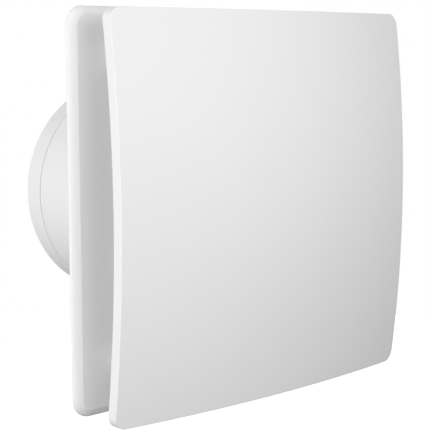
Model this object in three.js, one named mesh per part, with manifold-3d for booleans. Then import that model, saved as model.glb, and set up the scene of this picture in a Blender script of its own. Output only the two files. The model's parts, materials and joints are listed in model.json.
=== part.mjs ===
// A compact push-pull heat recovery unit for one room, for a round duct through an outside wall.
// Millimetres. Origin: duct axis on the wall face. +Y into the wall, -Y into the room, +Z up.
import * as THREE from 'three';
import { mergeVertices } from 'three/addons/utils/BufferGeometryUtils.js';
import Module from 'manifold-3d';

const wasm = await Module();
wasm.setup();

// ---- driving dimensions ----
const GAP = 0.3; // clearance between pieces that touch

const COVER_HALF = 80; // half the side of the square front cover
const COVER_CORNER = 5;
const COVER_EDGE_Y = -26.5; // front face of the cover at its corners
const COVER_BOW_X = 5.65; // how far the middle stands proud of the left and right edges
const COVER_BOW_Z = 5.9; // how far the middle stands proud of the top and bottom edges
const COVER_SKIN = 2.6;
const COVER_RIM_DEPTH = 4.9;
const COVER_RIM_WIDTH = 2.2;
const POST_X = 59; // snap posts of the cover, and their sockets
const POST_Z = 60;
const POST_R = 2.9;
const POST_SHOULDER_R = 4.4;

const HOUSING_HALF = 81.15;
const HOUSING_CORNER = 7.6;
const HOUSING_FRONT_Y = -3.2;
const HOUSING_SKIN = 1.8;
const HOUSING_RIM = 4.65; // width of the flat rim that lies on the wall
const WALL_SCREW_X = 60;
const WALL_SCREW_Z = 35;
const WALL_SCREW_R = 2.3;
const SOCKET_R = 5.6;
const SOCKET_BORE_R = 4.5;
const SOCKET_FRONT_Y = -12;
const SOCKET_FLOOR_Y = -4.4;

const SPIGOT_R = 49.25;
const SPIGOT_WALL = 2;
const SPIGOT_SEAM_Y = 69.2; // where the end ring meets the spigot
const SPIGOT_END_Y = 80;
const FLANGE_HALF = 52;
const FLANGE_CORNER = 7;
const FLANGE_T = 2;
const FLANGE_SCREW = 47; // the clamping screws, from the duct axis along X and Z
const SCREW_HOLE_R = 1.7;

const SHROUD_HALF = 56;
const SHROUD_CORNER = 8;
const SHROUD_FRONT_Y = -13;
const SHROUD_WALL = 1.8;

const FAN_BORE_R = 45.2;
const FAN_TUBE_R = 46.9;
const FAN_FRONT_Y = -12.7;
const FAN_BACK_Y = 20.3;
const STRUT_FRONT_Y = 14.9;
const STRUT_COUNT = 6;
const HUB_DISC_R = 19;
const IMPELLER_TIP_R = 44.2;
const IMPELLER_HUB_R = 18.6;
const BLADE_COUNT = 7;

const CORE_R = 44.4; // ceramic heat exchanger
const CORE_FRONT_Y = 24;
const CORE_BACK_Y = 67;
const CELL_PITCH = 5.6; // square through-cells of the ceramic
const CELL_SIDE = 3.6;

const CASSETTE_HALF = 49.6; // filter cassette
const CASSETTE_FRONT_Y = -20.4;
const CASSETTE_BACK_Y = -13.3;

const BOX = { x0: -46, x1: 46, y0: -16.4, y1: -3.5, z0: -75.5, z1: -58.5 }; // control box
const BOX_WALL = 1.6;
const LID_T = 1.8;
const LID_SCREWS = [[-42.4, -67], [42.4, -67]];
const CABLE_X = -33; // supply cable entry
const CABLE_Z = -66.6;
const CABLE_HOLE_R = 4.8;
const CLAMP_X = -23.5;
const CLAMP_SCREW_Z = [-71.9, -62.1];
const TERMINALS_X = [-13.5, -6.5, 0.5];
const TERMINAL_Z = -66.5;
const BOARD_FRONT_Y = -9.3;
const BUTTON_X = 33; // mode button, pressed upwards from under the unit
const BUTTON_Y = -11.6;
const BUTTON_STEM_TOP = -67.5;
const SPRING_BOTTOM = -72.2;
const SPRING_TOP = -66.5;
const LENS_X = 23;

const LEAD_R = 0.9; // motor lead
const LEAD_X = 6.2;
const LEAD_Y = -9.7;

const LARGE = 36; // sides of a large circle
const SMALL = 12; // sides of a small circle
const SCREW_SIDES = 8;

// ---- materials ----
function material(color, roughness, metalness = 0) {
  return new THREE.MeshStandardMaterial({ color, roughness, metalness });
}

const MATERIALS = {
  whitePlastic: material(0xf1f1ef, 0.35),
  innerPlastic: material(0xe4e4e1, 0.5),
  greyPlastic: material(0x8d9094, 0.55),
  blackPlastic: material(0x26282b, 0.5),
  rubber: material(0x303234, 0.9),
  foam: material(0x55595d, 1),
  filterFoam: material(0x3c4045, 1),
  ceramic: material(0xd9d2c4, 0.9),
  steel: material(0xb9bdc1, 0.3, 1),
  copper: material(0xb87333, 0.35, 1),
  magnet: material(0x4a4440, 0.7),
  board: material(0x1f5d3a, 0.6),
  clear: material(0xdfe8ea, 0.15),
};

// ---- solids ----
function toSolid(geometry) {
  const bare = geometry.clone();
  bare.deleteAttribute('normal');
  bare.deleteAttribute('uv');
  const merged = mergeVertices(bare, 1e-4);
  return new wasm.Manifold(new wasm.Mesh({
    numProp: 3,
    vertProperties: new Float32Array(merged.attributes.position.array),
    triVerts: new Uint32Array(merged.index.array),
  }));
}

function toGeometry(solid) {
  const mesh = solid.getMesh();
  const geometry = new THREE.BufferGeometry();
  geometry.setAttribute('position', new THREE.BufferAttribute(mesh.vertProperties, 3));
  geometry.setIndex(new THREE.BufferAttribute(mesh.triVerts, 1));
  geometry.computeVertexNormals();
  return geometry;
}

function join(solids) {
  return solids.reduce((whole, piece) => whole.add(piece));
}

function cut(solid, tools) {
  return tools.reduce((rest, tool) => rest.subtract(tool), solid);
}

// ---- shapes ----
function block(x0, x1, y0, y1, z0, z1) {
  const geometry = new THREE.BoxGeometry(x1 - x0, y1 - y0, z1 - z0);
  geometry.translate((x0 + x1) / 2, (y0 + y1) / 2, (z0 + z1) / 2);
  return toSolid(geometry);
}

// A rod along Y.
function rod(radius, y0, y1, x = 0, z = 0, sides = SMALL) {
  const geometry = new THREE.CylinderGeometry(radius, radius, y1 - y0, sides);
  geometry.translate(x, (y0 + y1) / 2, z);
  return toSolid(geometry);
}

// A rod along Z.
function uprightRod(radius, z0, z1, x, y, sides = SMALL) {
  const geometry = new THREE.CylinderGeometry(radius, radius, z1 - z0, sides);
  geometry.rotateX(Math.PI / 2);
  geometry.translate(x, y, (z0 + z1) / 2);
  return toSolid(geometry);
}

// A body turned about the Y axis from a profile of [radius, y] points.
function turned(profile, sides = LARGE) {
  const points = profile.map(([radius, y]) => new THREE.Vector2(radius, y));
  const closed = profile[0][0] > 0 ? [...points, points[0].clone()] : points;
  const solid = toSolid(new THREE.LatheGeometry(closed, sides));
  return solid.volume() < 0 ? toSolid(new THREE.LatheGeometry(closed.reverse(), sides)) : solid;
}

function ring(outer, inner, y0, y1, sides = LARGE) {
  return turned([[inner, y0], [outer, y0], [outer, y1], [inner, y1]], sides);
}

function roundedSquare(half, corner) {
  const shape = new THREE.Shape();
  const flat = half - corner;
  shape.absarc(flat, flat, corner, 0, Math.PI / 2);
  shape.absarc(-flat, flat, corner, Math.PI / 2, Math.PI);
  shape.absarc(-flat, -flat, corner, Math.PI, Math.PI * 1.5);
  shape.absarc(flat, -flat, corner, Math.PI * 1.5, Math.PI * 2);
  return shape;
}

// A shape drawn in X and Z, extruded from y0 to y1.
function extruded(shape, y0, y1, curveSegments = 4) {
  const geometry = new THREE.ExtrudeGeometry(shape, { depth: y1 - y0, bevelEnabled: false, curveSegments });
  geometry.rotateX(Math.PI / 2);
  geometry.translate(0, y1, 0);
  return toSolid(geometry);
}

function slab(half, corner, y0, y1) {
  return extruded(roundedSquare(half, corner), y0, y1);
}

// Points round a square with round corners, with extra points along its straight sides.
function squareLoop(half, corner, depthAt, cornerSteps = 4, sideSteps = 5) {
  const flat = half - corner;
  const loop = [];
  for (let side = 0; side < 4; side += 1) {
    const start = side * Math.PI / 2;
    const centre = new THREE.Vector2(flat, flat).rotateAround(new THREE.Vector2(), start);
    for (let step = 0; step <= cornerSteps; step += 1) {
      const angle = start + (step / cornerSteps) * Math.PI / 2;
      loop.push([centre.x + corner * Math.cos(angle), centre.y + corner * Math.sin(angle)]);
    }
    const next = centre.clone().rotateAround(new THREE.Vector2(), Math.PI / 2);
    const from = loop[loop.length - 1];
    const turn = start + Math.PI / 2;
    const to = [next.x + corner * Math.cos(turn), next.y + corner * Math.sin(turn)];
    for (let step = 1; step < sideSteps; step += 1) {
      const share = step / sideSteps;
      loop.push([from[0] + (to[0] - from[0]) * share, from[1] + (to[1] - from[1]) * share]);
    }
  }
  return loop.map(([x, z]) => new THREE.Vector3(x, depthAt(x, z), z));
}

// A closed skin over a row of loops of equal length, with a fan over each end.
function lofted(loops) {
  const count = loops[0].length;
  const positions = loops.flat().flatMap((point) => [point.x, point.y, point.z]);
  const index = [];
  for (let row = 0; row < loops.length - 1; row += 1) {
    for (let i = 0; i < count; i += 1) {
      const a = row * count + i;
      const b = row * count + ((i + 1) % count);
      index.push(a, b, b + count, a, b + count, a + count);
    }
  }
  const last = (loops.length - 1) * count;
  for (let i = 1; i < count - 1; i += 1) {
    index.push(0, i + 1, i, last, last + i, last + i + 1);
  }
  const geometry = new THREE.BufferGeometry();
  geometry.setAttribute('position', new THREE.Float32BufferAttribute(positions, 3));
  geometry.setIndex(index);
  const solid = toSolid(geometry);
  if (solid.volume() > 0) return solid;
  geometry.setIndex(index.reverse());
  return toSolid(geometry);
}

function fourCorners(x, z) {
  return [[x, z], [-x, z], [-x, -z], [x, -z]];
}

// Four equal rods along Y, one in each corner.
function cornerRods(placeX, placeZ, radius, y0, y1, sides = SMALL) {
  return fourCorners(placeX, placeZ).map(([x, z]) => rod(radius, y0, y1, x, z, sides));
}

// Holes for the four clamping screws, right through a piece.
function clampingScrewHoles() {
  return cornerRods(FLANGE_SCREW, FLANGE_SCREW, SCREW_HOLE_R, -40, 10, SCREW_SIDES);
}

// ---- casing ----
function rearHousing() {
  const lip = [[0, 0], [0, -0.5], [0.45, -1.4], [1.55, -2.5], [3.25, HOUSING_FRONT_Y]]; // [inset, y]
  const loops = lip.map(([inset, y]) => {
    return squareLoop(HOUSING_HALF - inset, HOUSING_CORNER - inset, () => y, 4, 1);
  });
  const pocket = slab(HOUSING_HALF - HOUSING_RIM, 4, HOUSING_FRONT_Y + HOUSING_SKIN, 1);
  const skin = HOUSING_FRONT_Y + HOUSING_SKIN / 2;
  const body = join([
    lofted(loops).subtract(pocket),
    ...cornerRods(FLANGE_SCREW, FLANGE_SCREW, 4, skin, -GAP, SCREW_SIDES),
    ...cornerRods(POST_X, POST_Z, SOCKET_R, SOCKET_FRONT_Y, skin),
  ]);
  return cut(body, [
    rod(SPIGOT_R + GAP, -20, 10, 0, 0, LARGE),
    rod(CABLE_HOLE_R, -20, 10, CABLE_X, CABLE_Z),
    ...clampingScrewHoles(),
    ...cornerRods(POST_X, POST_Z, SOCKET_BORE_R, SOCKET_FRONT_Y - 1, SOCKET_FLOOR_Y),
    ...cornerRods(WALL_SCREW_X, WALL_SCREW_Z, WALL_SCREW_R, -10, 10, SCREW_SIDES),
  ]);
}

function wallGasket() {
  const outer = HOUSING_HALF - HOUSING_RIM - 0.7;
  return slab(outer, 4, -1.1, 0).subtract(slab(outer - 3.4, 3, -5, 5));
}

function coverFrontY(x, z) {
  const bowX = COVER_BOW_X * (1 - (x / COVER_HALF) ** 2);
  const bowZ = COVER_BOW_Z * (1 - (z / COVER_HALF) ** 2);
  return COVER_EDGE_Y - bowX - bowZ;
}

function frontCover() {
  const loopAt = (half, offset) => {
    const corner = Math.max(half - (COVER_HALF - COVER_CORNER), 0.4);
    return squareLoop(half, corner, (x, z) => coverFrontY(x, z) + offset);
  };
  const inside = COVER_HALF - COVER_RIM_WIDTH;
  const steps = [0.5, 26, 52, 73];
  const panel = lofted([
    ...steps.map((half) => loopAt(half, 0)),
    loopAt(COVER_HALF - 0.5, 0),
    loopAt(COVER_HALF, 0.5),
    loopAt(COVER_HALF, COVER_RIM_DEPTH),
    loopAt(inside, COVER_RIM_DEPTH),
    loopAt(inside, COVER_SKIN),
    ...steps.slice().reverse().map((half) => loopAt(half, COVER_SKIN)),
  ]);
  const top = coverFrontY(POST_X, POST_Z) + 1;
  const shoulder = SOCKET_FRONT_Y - 0.4;
  return join([
    panel,
    ...cornerRods(POST_X, POST_Z, POST_SHOULDER_R, top, shoulder),
    ...cornerRods(POST_X, POST_Z, POST_R, top, SOCKET_FLOOR_Y - 1),
  ]);
}

function coverGrommet() {
  return ring(SOCKET_BORE_R - GAP, POST_R + GAP, SOCKET_FRONT_Y + 0.2, SOCKET_FLOOR_Y - 0.4, SMALL);
}

// ---- duct ----
function ductSpigot() {
  const flange = slab(FLANGE_HALF, FLANGE_CORNER, HOUSING_FRONT_Y - GAP - FLANGE_T, HOUSING_FRONT_Y - GAP);
  const tube = rod(SPIGOT_R, HOUSING_FRONT_Y - GAP - FLANGE_T, SPIGOT_SEAM_Y, 0, 0, LARGE);
  return cut(flange.add(tube), [
    rod(SPIGOT_R - SPIGOT_WALL, -20, 90, 0, 0, LARGE),
    ...clampingScrewHoles(),
  ]);
}

function spigotEndRing() {
  const seam = SPIGOT_SEAM_Y + GAP;
  const shell = turned([
    [45.4, 64], [FAN_TUBE_R, 64], [FAN_TUBE_R, seam], [SPIGOT_R, seam],
    [SPIGOT_R, SPIGOT_END_Y], [47, SPIGOT_END_Y], [47, 71], [45.4, 71],
  ]);
  const guardY0 = 75.5;
  const guardY1 = 78.5;
  const spokes = [0, 1, 2].map((turn) => {
    const bar = block(-47.6, 47.6, guardY0, guardY1, -1.1, 1.1);
    return bar.rotate([0, turn * 60, 0]);
  });
  return join([shell, rod(9, guardY0, guardY1, 0, 0, 24), ...spokes]);
}

function heatExchangerCore() {
  const cells = [];
  const reach = Math.ceil(CORE_R / CELL_PITCH);
  const half = CELL_SIDE / 2;
  for (let column = -reach; column <= reach; column += 1) {
    for (let row = -reach; row <= reach; row += 1) {
      const x = column * CELL_PITCH;
      const z = row * CELL_PITCH;
      if (Math.hypot(Math.abs(x) + half, Math.abs(z) + half) < CORE_R - 1.5) {
        cells.push(block(x - half, x + half, CORE_FRONT_Y - 1, CORE_BACK_Y + 1, z - half, z + half));
      }
    }
  }
  return cut(rod(CORE_R, CORE_FRONT_Y, CORE_BACK_Y, 0, 0, LARGE), cells);
}

function coreSleeve() {
  return ring(FAN_TUBE_R, CORE_R + GAP, CORE_FRONT_Y, 63.7);
}

function coreFilter() {
  return rod(FAN_TUBE_R - 0.1, FAN_BACK_Y + GAP, CORE_FRONT_Y - 0.4, 0, 0, LARGE);
}

// ---- fan ----
function fanHousing() {
  const flangeY = HOUSING_FRONT_Y - 2 * GAP - 2 * FLANGE_T;
  const tube = turned([
    [FAN_BORE_R, FAN_FRONT_Y + 3], [FAN_BORE_R + 1.2, FAN_FRONT_Y + 0.9], [49.2, FAN_FRONT_Y],
    [49.4, FAN_FRONT_Y + 0.8], [FAN_TUBE_R, FAN_FRONT_Y + 4], [FAN_TUBE_R, FAN_BACK_Y],
    [FAN_BORE_R, FAN_BACK_Y],
  ]);
  const flange = slab(FLANGE_HALF, FLANGE_CORNER, flangeY, flangeY + FLANGE_T)
    .subtract(rod(FAN_TUBE_R - 0.5, -20, 20, 0, 0, LARGE));
  const struts = [];
  for (let i = 0; i < STRUT_COUNT; i += 1) {
    const strut = block(-1, 1, STRUT_FRONT_Y, FAN_BACK_Y, -46, -HUB_DISC_R + 2);
    struts.push(strut.rotate([0, i * 360 / STRUT_COUNT, 0]));
  }
  const hub = rod(HUB_DISC_R, STRUT_FRONT_Y, STRUT_FRONT_Y + 2, 0, 0, LARGE);
  const bearingTube = rod(4.4, 0.3, STRUT_FRONT_Y + 1, 0, 0, SMALL);
  return cut(join([tube, flange, ...struts, hub, bearingTube]), [
    rod(3.3, -1, 30),
    block(-1.5, 1.5, FAN_FRONT_Y + 1.6, STRUT_FRONT_Y - 0.3, -50, -44), // slot for the motor lead
    ...clampingScrewHoles(),
  ]);
}

// One blade: thin curved sections from hub to tip, wrapped round the axis.
function blade(angle) {
  const stations = 4;
  const sections = [];
  for (let i = 0; i < stations; i += 1) {
    const share = i / (stations - 1);
    const radius = IMPELLER_HUB_R - 0.8 + share * (IMPELLER_TIP_R - IMPELLER_HUB_R + 0.8);
    const chord = 16 + 9 * share;
    const pitch = THREE.MathUtils.degToRad(42 - 19 * share);
    sections.push(bladeSection(radius, chord, pitch, 1.1 - 0.3 * share, angle));
  }
  return lofted(sections);
}

function bladeSection(radius, chord, pitch, halfThickness, angle) {
  const outline = [[-1, 0], [-0.4, 1], [0.4, 1], [1, 0], [0.4, -1], [-0.4, -1]];
  return outline.map(([along, across]) => {
    const a = along * chord / 2;
    const b = across * halfThickness;
    const sideways = a * Math.cos(pitch) - b * Math.sin(pitch);
    const y = 2.8 + a * Math.sin(pitch) + b * Math.cos(pitch);
    const turn = angle + sideways / radius;
    return new THREE.Vector3(radius * Math.cos(turn), y, radius * Math.sin(turn));
  });
}

function impeller() {
  const hub = turned([
    [0, -8], [9, -7.6], [15, -6.6], [IMPELLER_HUB_R, -4], [IMPELLER_HUB_R, 12],
    [16.5, 12], [16.5, -3.6], [2.8, -3.6], [2.8, -0.2], [1.8, -0.2], [1.8, -5], [0, -5],
  ], 24);
  const blades = [];
  for (let i = 0; i < BLADE_COUNT; i += 1) blades.push(blade(i * 2 * Math.PI / BLADE_COUNT));
  return join([hub, ...blades]);
}

function rotorYoke() {
  return turned([[3.1, -3.3], [16.2, -3.3], [16.2, 11.6], [15.4, 11.6], [15.4, -2.5], [3.1, -2.5]], 24);
}

// Laminated stator: a hub ring with four T-shaped poles.
function statorCore() {
  const shape = new THREE.Shape();
  const poleHalfWidth = 2;
  const root = Math.asin(poleHalfWidth / 6.6);
  const neck = Math.asin(poleHalfWidth / 11.2);
  const tip = THREE.MathUtils.degToRad(34);
  for (let pole = 0; pole < 4; pole += 1) {
    const middle = pole * Math.PI / 2;
    const corners = [[6.6, -root], [11.2, -neck], [12, -tip]];
    const arc = [-1, -0.5, 0, 0.5, 1].map((share) => [12.7, share * tip]);
    const mirrored = corners.map(([radius, turn]) => [radius, -turn]).reverse();
    [...corners, ...arc, ...mirrored].forEach(([radius, turn], i) => {
      const x = radius * Math.cos(middle + turn);
      const z = radius * Math.sin(middle + turn);
      if (pole === 0 && i === 0) shape.moveTo(x, z);
      else shape.lineTo(x, z);
    });
  }
  return extruded(shape, 0.5, 10.5).subtract(rod(4.7, -5, 20));
}

// A coil wound round the pole that points along +X.
function statorCoil() {
  const outer = block(7.2, 10.2, -0.9, 11.9, -3.7, 3.7);
  return outer.subtract(block(5, 12, 0.2, 10.8, -2.3, 2.3));
}

// The lead runs from the control box, down a slot in the fan's tube and in along the lowest strut.
function motorLead() {
  const route = [
    [LEAD_X, LEAD_Y, -66], [LEAD_X, LEAD_Y, -59.5], [LEAD_X, LEAD_Y, -53.6],
    [LEAD_X * 0.55, LEAD_Y, -50.6], [0.6, LEAD_Y + 0.1, -48.8], [0, -8.6, -46.4],
    [0, -5, -46], [0, 2, -46], [0, 9, -46], [0, 12.3, -45.7], [0, 13.6, -43.4],
    [0, 13.6, -36], [0, 13.6, -26], [0, 13.6, -15.6],
  ];
  const points = route.map((point) => new THREE.Vector3(...point));
  const path = new THREE.CatmullRomCurve3(points, false, 'centripetal');
  const section = new THREE.Shape();
  section.absarc(0, 0, LEAD_R, 0, 2 * Math.PI);
  return toSolid(new THREE.ExtrudeGeometry(section, { steps: 26, extrudePath: path, curveSegments: 3 }));
}

function bearing(y0, y1) {
  return ring(3, 1.8, y0, y1, SMALL);
}

// A retaining clip: a ring with a mouth.
function shaftClip() {
  return ring(2.9, 1.8, 13.4, 14, SMALL).subtract(block(0, 5, 10, 20, -0.7, 0.7));
}

function shroud() {
  const wellR = 4.6;
  const wellFloor = -8.1;
  const wells = cornerRods(FLANGE_SCREW, FLANGE_SCREW, wellR, SHROUD_FRONT_Y + 1, wellFloor);
  const shell = slab(SHROUD_HALF, SHROUD_CORNER, SHROUD_FRONT_Y, HOUSING_FRONT_Y - GAP)
    .subtract(slab(SHROUD_HALF - SHROUD_WALL, SHROUD_CORNER - SHROUD_WALL, SHROUD_FRONT_Y + SHROUD_WALL, 5));
  const railY0 = CASSETTE_FRONT_Y - 1.5;
  const railZ = CASSETTE_HALF + 0.4;
  const rails = [-1, 1].flatMap((side) => {
    const [low, high] = side > 0 ? [railZ, railZ + 2.4] : [-railZ - 2.4, -railZ];
    const [lipLow, lipHigh] = side > 0 ? [railZ - 2.6, railZ + 1] : [-railZ - 1, -railZ + 2.6];
    return [
      block(-54, 54, railY0, SHROUD_FRONT_Y + 1, low, high),
      block(-54, 54, railY0, railY0 + 1.2, lipLow, lipHigh),
    ];
  });
  const stop = block(-54, -CASSETTE_HALF - 0.4, railY0 + 4, SHROUD_FRONT_Y + 1, -railZ - 1, railZ + 1);
  const body = join([shell, ...wells, ...rails, stop]);
  return cut(body, [
    rod(49.8, -30, 10, 0, 0, LARGE).subtract(block(-80, 80, -40, SHROUD_FRONT_Y - GAP, -80, 80)),
    ...cornerRods(FLANGE_SCREW, FLANGE_SCREW, wellR - 1.2, -40, wellFloor - 1),
    ...clampingScrewHoles(),
    uprightRod(1.4, -60, -50, LEAD_X, LEAD_Y, SCREW_SIDES),
  ]);
}

// A pan-head screw standing on Y, its head towards the room, its seat at y = 0.
function screw(headR, headT, shankR, length) {
  const head = [[0, -headT], [headR * 0.7, -headT], [headR, 0]];
  const shank = [[shankR, 0], [shankR, length], [0, length]];
  const slot = block(-headR, headR, -headT - 1, -headT * 0.5, -0.35, 0.35);
  return turned([...head, ...shank], SCREW_SIDES).subtract(slot);
}

// ---- filter ----
function filterFrame() {
  const inner = 44;
  const frame = slab(CASSETTE_HALF, 2.5, CASSETTE_FRONT_Y, CASSETTE_BACK_Y)
    .subtract(slab(inner, 1.5, -30, 0));
  const bars = [];
  [[CASSETTE_FRONT_Y, CASSETTE_FRONT_Y + 1], [CASSETTE_BACK_Y - 1, CASSETTE_BACK_Y]].forEach(([y0, y1]) => {
    [-15, 15].forEach((place) => {
      bars.push(block(place - 0.8, place + 0.8, y0, y1, -inner - 1, inner + 1));
      bars.push(block(-inner - 1, inner + 1, y0, y1, place - 0.8, place + 0.8));
    });
  });
  const tab = block(CASSETTE_HALF - 1, 60, -17.6, -16, -8, 8);
  const grip = block(58.4, 60, -19.4, -14.2, -8, 8);
  return join([frame, ...bars, tab, grip]);
}

function filterMat() {
  return slab(43.6, 1.6, CASSETTE_FRONT_Y + 1.3, CASSETTE_BACK_Y - 1.3);
}

// ---- controls ----
function controlBox() {
  const { x0, x1, y0, y1, z0, z1 } = BOX;
  const w = BOX_WALL;
  const inside = block(x0 + w, x1 - w, y0 - 1, y1 - w, z0 + w, z1 - w);
  const shell = block(x0, x1, y0, y1, z0, z1).subtract(inside);
  const bosses = LID_SCREWS.map(([x, z]) => block(x - 2.6, x + 2.6, y0, y1 - 0.5, z - 2.6, z + 2.6));
  const boardFeet = [[11, -63], [37, -63], [11, -69.5]].map(([x, z]) => rod(1.6, -7.5, y1 - 1, x, z, 8));
  const clampPosts = CLAMP_SCREW_Z.map((z) => rod(1.7, -7.9, y1 - 1, CLAMP_X, z, 12));
  return cut(join([shell, ...bosses, ...boardFeet, ...clampPosts]), [
    rod(CABLE_HOLE_R, -20, 10, CABLE_X, CABLE_Z),
    ...LID_SCREWS.map(([x, z]) => rod(1.5, -30, -8, x, z, SCREW_SIDES)),
    ...CLAMP_SCREW_Z.map((z) => rod(1, -30, -4.4, CLAMP_X, z, 8)),
    uprightRod(1.4, z1 - 4, z1 + 4, LEAD_X, LEAD_Y, SCREW_SIDES),
    uprightRod(3.8, z0 - 4, z0 + 2.5, BUTTON_X, BUTTON_Y),
    uprightRod(1.8, z0 - 4, z0 + 2.5, LENS_X, BUTTON_Y),
  ]);
}

function controlBoxLid() {
  const { x0, x1, y0, z0, z1 } = BOX;
  const back = y0 - GAP;
  const holes = LID_SCREWS.map(([x, z]) => rod(1.6, -30, 0, x, z, SCREW_SIDES));
  return cut(block(x0, x1, back - LID_T, back, z0, z1), holes);
}

function controlBoard() {
  return block(8, 39.4, BOARD_FRONT_Y, BOARD_FRONT_Y + 1.5, -70.9, -60.6);
}

// Something that stands on the front of the control board.
function boardPart(x0, x1, height, z0, z1) {
  const seat = BOARD_FRONT_Y - GAP;
  return block(x0, x1, seat - height, seat, z0, z1);
}

function capacitor() {
  const seat = BOARD_FRONT_Y - GAP;
  return rod(2.4, seat - 5.6, seat, 26.5, -64).subtract(block(24.9, 28.1, -20, seat - 5.3, -64.15, -63.85));
}

function terminalBlock() {
  const body = block(TERMINALS_X[0] - 3.5, TERMINALS_X[2] + 3.5, -13.4, -5.4, -71, -62);
  const cavities = TERMINALS_X.flatMap((x) => [
    rod(2.2, -20, -9.2, x, TERMINAL_Z, 12),
    block(x - 1.8, x + 1.8, -8.6, -6.2, -80, TERMINAL_Z - 2.3),
  ]);
  return cut(body, cavities);
}

function terminalScrew() {
  return rod(1.8, -2, 0, 0, 0, 12).subtract(block(-3, 3, -3, -1.4, -0.3, 0.3));
}

function cableClamp() {
  const bar = block(CLAMP_X - 2, CLAMP_X + 2, -9.8, -8.2, -73.4, -60.6);
  const saddle = block(CLAMP_X - 2, CLAMP_X + 2, -8.4, -7.2, -69.4, -64.6);
  return cut(bar.add(saddle), CLAMP_SCREW_Z.map((z) => rod(1, -20, 0, CLAMP_X, z, 8)));
}

function cableGrommet() {
  return turned([
    [3.2, -6.5], [5.7, -6.5], [5.7, -5.4], [4.5, -5.4], [4.5, -1.1], [5.7, -1.1], [5.7, -0.2], [3.2, -0.2],
  ], SMALL);
}

function modeButton() {
  const { z0 } = BOX;
  return join([
    uprightRod(3.5, z0 - 2.4, z0 + 2.4, BUTTON_X, BUTTON_Y),
    uprightRod(4.2, z0 + 2, z0 + 3, BUTTON_X, BUTTON_Y),
    uprightRod(1, z0 + 2.5, BUTTON_STEM_TOP, BUTTON_X, BUTTON_Y, 12),
  ]);
}

function buttonSpring() {
  const wireR = 0.25;
  const coils = 3.5;
  const height = SPRING_TOP - SPRING_BOTTOM - 2 * wireR;
  class Helix extends THREE.Curve {
    getPoint(t) {
      const turn = t * coils * 2 * Math.PI;
      const z = SPRING_BOTTOM + wireR + t * height;
      return new THREE.Vector3(BUTTON_X + 1.6 * Math.cos(turn), BUTTON_Y + 1.6 * Math.sin(turn), z);
    }
  }
  const section = new THREE.Shape();
  section.absarc(0, 0, wireR, 0, 2 * Math.PI);
  const options = { steps: Math.round(coils * 8), extrudePath: new Helix(), curveSegments: 2 };
  return toSolid(new THREE.ExtrudeGeometry(section, options));
}

// ---- assembly ----
function part(name, solid, look, x = 0, y = 0, z = 0) {
  const mesh = new THREE.Mesh(toGeometry(solid), MATERIALS[look]);
  mesh.name = name;
  mesh.position.set(x, y, z);
  return mesh;
}

// One copy of a repeated piece at each place.
function copies(name, makeSolid, look, places) {
  return places.map(([x, y, z], i) => part(`${name}_${i + 1}`, makeSolid(), look, x, y, z));
}

// Places in X and Z, all at one depth.
function atDepth(y, places) {
  return places.map(([x, z]) => [x, y, z]);
}

function assembly(...pieces) {
  const group = new THREE.Group();
  group.add(...pieces);
  return group;
}

const clampingPlaces = fourCorners(FLANGE_SCREW, FLANGE_SCREW);
const casing = assembly(
  part('rear_housing', rearHousing(), 'whitePlastic'),
  part('wall_gasket', wallGasket(), 'foam'),
  part('inner_shroud', shroud(), 'innerPlastic'),
  ...copies('cover_grommet', coverGrommet, 'rubber', atDepth(0, fourCorners(POST_X, POST_Z))),
  ...copies('clamping_screw', () => screw(2.9, 1.8, 1.4, 8.8), 'steel', atDepth(-9.4, clampingPlaces)),
);

const duct = assembly(
  part('duct_spigot', ductSpigot(), 'whitePlastic'),
  part('spigot_end_ring', spigotEndRing(), 'whitePlastic'),
  part('heat_exchanger_core', heatExchangerCore(), 'ceramic'),
  part('core_sleeve', coreSleeve(), 'foam'),
  part('core_filter', coreFilter(), 'filterFoam'),
);

const fan = assembly(
  part('fan_housing', fanHousing(), 'innerPlastic'),
  part('stator_core', statorCore(), 'steel'),
  ...[0, 1, 2, 3].map((i) => part(`stator_coil_${i + 1}`, statorCoil().rotate([0, i * 90, 0]), 'copper')),
  part('motor_board', ring(15.2, 5, 12.4, 13.9, 24), 'board'),
  part('front_bearing', bearing(0.6, 4.1), 'steel'),
  part('rear_bearing', bearing(9.6, 13.1), 'steel'),
  part('motor_lead', motorLead(), 'blackPlastic'),
);

const rotor = assembly(
  part('impeller', impeller(), 'greyPlastic'),
  part('rotor_yoke', rotorYoke(), 'steel'),
  part('magnet_ring', ring(15.1, 13.3, -0.5, 11.3, 24), 'magnet'),
  part('motor_shaft', rod(1.5, -4.7, 14.6), 'steel'),
  part('shaft_clip', shaftClip(), 'steel'),
);

const filter = assembly(
  part('filter_frame', filterFrame(), 'innerPlastic'),
  part('filter_mat', filterMat(), 'filterFoam'),
);

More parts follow.
